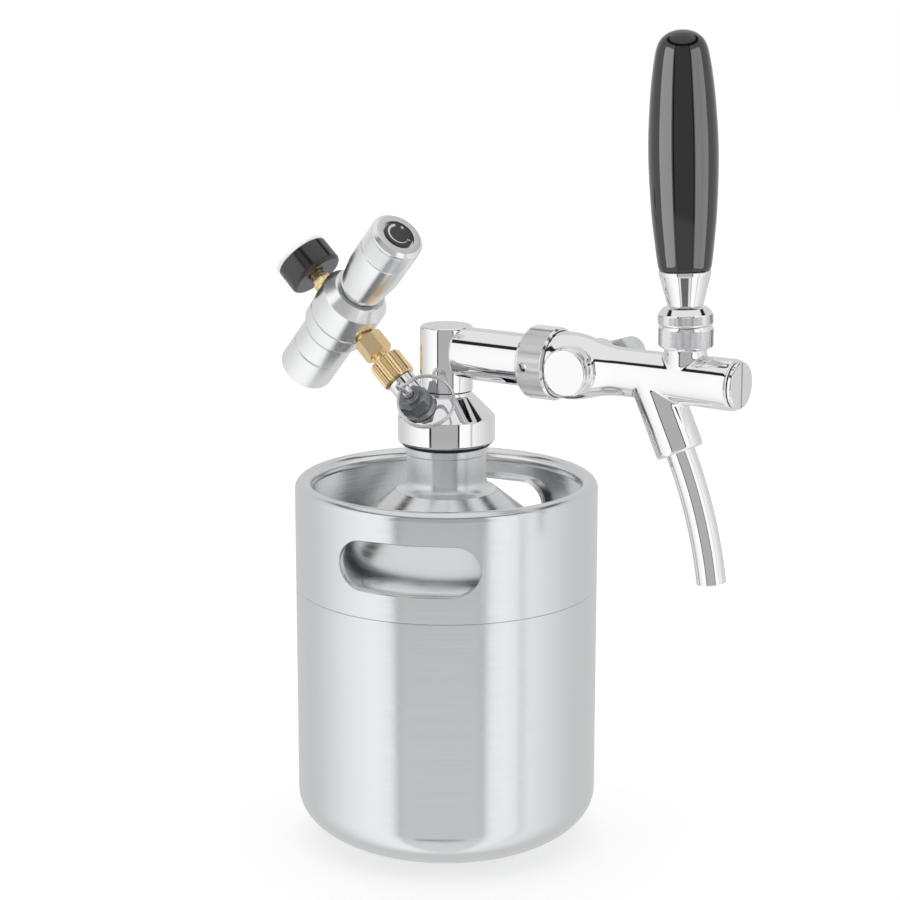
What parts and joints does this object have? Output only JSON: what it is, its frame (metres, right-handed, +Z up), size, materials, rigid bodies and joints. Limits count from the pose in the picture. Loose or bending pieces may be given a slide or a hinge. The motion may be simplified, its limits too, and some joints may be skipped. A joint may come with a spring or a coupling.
{
  "type": "mini keg beer dispenser",
  "caption": "Small steel keg with a screw-on dispensing head, a flow control tap with a tall handle and curved spout, a relief valve and a gas regulator with gauge.",
  "frame": {"origin": "centre of the keg's flat base", "axes": "+Z up along the keg's axis, +X along the tap's arm, -X to the gas regulator"},
  "size_m": [0.2289, 0.13, 0.3523],
  "materials": {
    "brushed_steel": "fine brushing, softly reflecting",
    "polished_steel": "smooth, polished",
    "chrome": "mirror polish",
    "inner_steel": "plain turned",
    "satin_aluminium": "satin, fine turned",
    "brass": "bright, machined",
    "dark_nickel": "dark polished plating",
    "black_rubber": "matt",
    "black_gloss": "glossy",
    "black_plastic": "half gloss",
    "white_enamel": "matt white print",
    "clear_plastic": "clear, glossy"
  },
  "bodies": {
    "keg": {"keg_shell": "brushed_steel", "keg_dome": "polished_steel", "keg_chime": "brushed_steel", "keg_neck": "polished_steel"},
    "seal": {"neck_seal": "black_rubber"},
    "head": {"dispenser_cap": "chrome", "elbow": "chrome", "dip_tube": "inner_steel", "dip_tube_seal": "black_rubber", "gas_inlet_stub": "chrome", "relief_body": "dark_nickel", "relief_spring": "inner_steel", "shank_tube": "chrome", "shank_washer": "black_rubber", "tap_body": "chrome", "flow_boss_cap": "chrome", "bonnet_nut": "chrome", "end_cap": "chrome", "spout_tube": "chrome", "spout_seal": "black_rubber"},
    "collar": {"collar_nut": "chrome"},
    "flow_lever": {"flow_lever": "chrome", "flow_shaft": "inner_steel"},
    "flow_plug": {"flow_plug": "inner_steel"},
    "handle": {"handle_lever": "inner_steel", "lock_ring": "chrome", "ferrule": "chrome", "grip": "black_gloss"},
    "valve": {"valve_shaft": "inner_steel", "valve_washer": "black_rubber", "shaft_seal": "black_rubber"},
    "gas_nut": {"gas_nut": "brass"},
    "regulator": {"gas_fitting": "brass", "regulator_body": "satin_aluminium", "cartridge_socket": "satin_aluminium", "piercing_pin": "inner_steel", "gauge_stem": "brass", "gauge_case": "black_plastic", "gauge_dial": "white_enamel", "gauge_lens": "clear_plastic", "regulating_spring": "inner_steel"},
    "spring_plate": {"spring_plate": "inner_steel"},
    "knob": {"pressure_knob": "satin_aluminium", "knob_badge": "black_plastic"},
    "needle": {"gauge_needle": "black_plastic"},
    "relief_stem": {"relief_stem": "inner_steel"},
    "relief_ring": {"relief_ring": "inner_steel"}
  },
  "joints": [
    {"name": "head_rise", "type": "slide", "parent": "keg", "child": "seal", "axis": [0, 0, 1], "range_m": [0, 0.0061]},
    {"name": "head_turn", "type": "hinge", "parent": "seal", "child": "head", "pos_m": [0, 0, 0.18], "axis": [0, 0, 1], "range_deg": [0, 1080]},
    {"name": "collar_turn", "type": "hinge", "parent": "head", "child": "collar", "pos_m": [0.049, 0, 0.215], "axis": [1, 0, 0], "continuous": true},
    {"name": "flow_lever_turn", "type": "hinge", "parent": "head", "child": "flow_lever", "pos_m": [0.068, 0, 0.215], "axis": [0, 1, 0], "range_deg": [-90, 0]},
    {"name": "flow_plug_slide", "type": "slide", "parent": "head", "child": "flow_plug", "axis": [1, 0, 0], "range_m": [-0.00151, 0]},
    {"name": "handle_tilt", "type": "hinge", "parent": "head", "child": "handle", "pos_m": [0.1146, 0, 0.23], "axis": [0, 1, 0], "range_deg": [0, 35]},
    {"name": "valve_slide", "type": "slide", "parent": "head", "child": "valve", "axis": [1, 0, 0], "range_m": [-0.0088, 0]},
    {"name": "gas_nut_turn", "type": "hinge", "parent": "head", "child": "gas_nut", "pos_m": [-0.02733, -0.00062, 0.2034], "axis": [-0.7192, -0.0163, 0.6947], "continuous": true},
    {"name": "regulator_swivel", "type": "hinge", "parent": "head", "child": "regulator", "pos_m": [-0.05207, -0.00118, 0.22729], "axis": [-0.7192, -0.0163, 0.6947], "range_deg": [-90, 90]},
    {"name": "spring_plate_slide", "type": "slide", "parent": "regulator", "child": "spring_plate", "axis": [0.6822, -0.2061, 0.7015], "range_m": [-0.00151, 0], "deforming": ["regulating_spring"]},
    {"name": "knob_turn", "type": "hinge", "parent": "spring_plate", "child": "knob", "pos_m": [-0.0316, -0.00737, 0.24834], "axis": [0.6822, -0.2061, 0.7015], "range_deg": [-720, 0]},
    {"name": "needle_turn", "type": "hinge", "parent": "regulator", "child": "needle", "pos_m": [-0.07307, -0.00166, 0.24758], "axis": [0.7192, 0.0163, -0.6947], "range_deg": [0, 270]},
    {"name": "relief_pull", "type": "slide", "parent": "head", "child": "relief_stem", "axis": [-0.1125, -0.7105, 0.6947], "range_m": [0, 0.0025], "stiffness_N_per_m": 400, "springref_m": -0.002, "deforming": ["relief_spring"]},
    {"name": "ring_swing", "type": "hinge", "parent": "relief_stem", "child": "relief_ring", "pos_m": [-0.00407, -0.02572, 0.20215], "axis": [0.1943, 0.6699, 0.7166], "range_deg": [-60, 10]}
  ],
  "couplings": [
    {"joint": "head_rise", "follows": "head_turn", "m_per_rad": 0.00031831},
    {"joint": "flow_plug_slide", "follows": "flow_lever_turn", "m_per_rad": 0.00095493},
    {"joint": "valve_slide", "follows": "handle_tilt", "m_per_rad": -0.01425},
    {"joint": "spring_plate_slide", "follows": "knob_turn", "m_per_rad": 0.00011937}
  ]
}
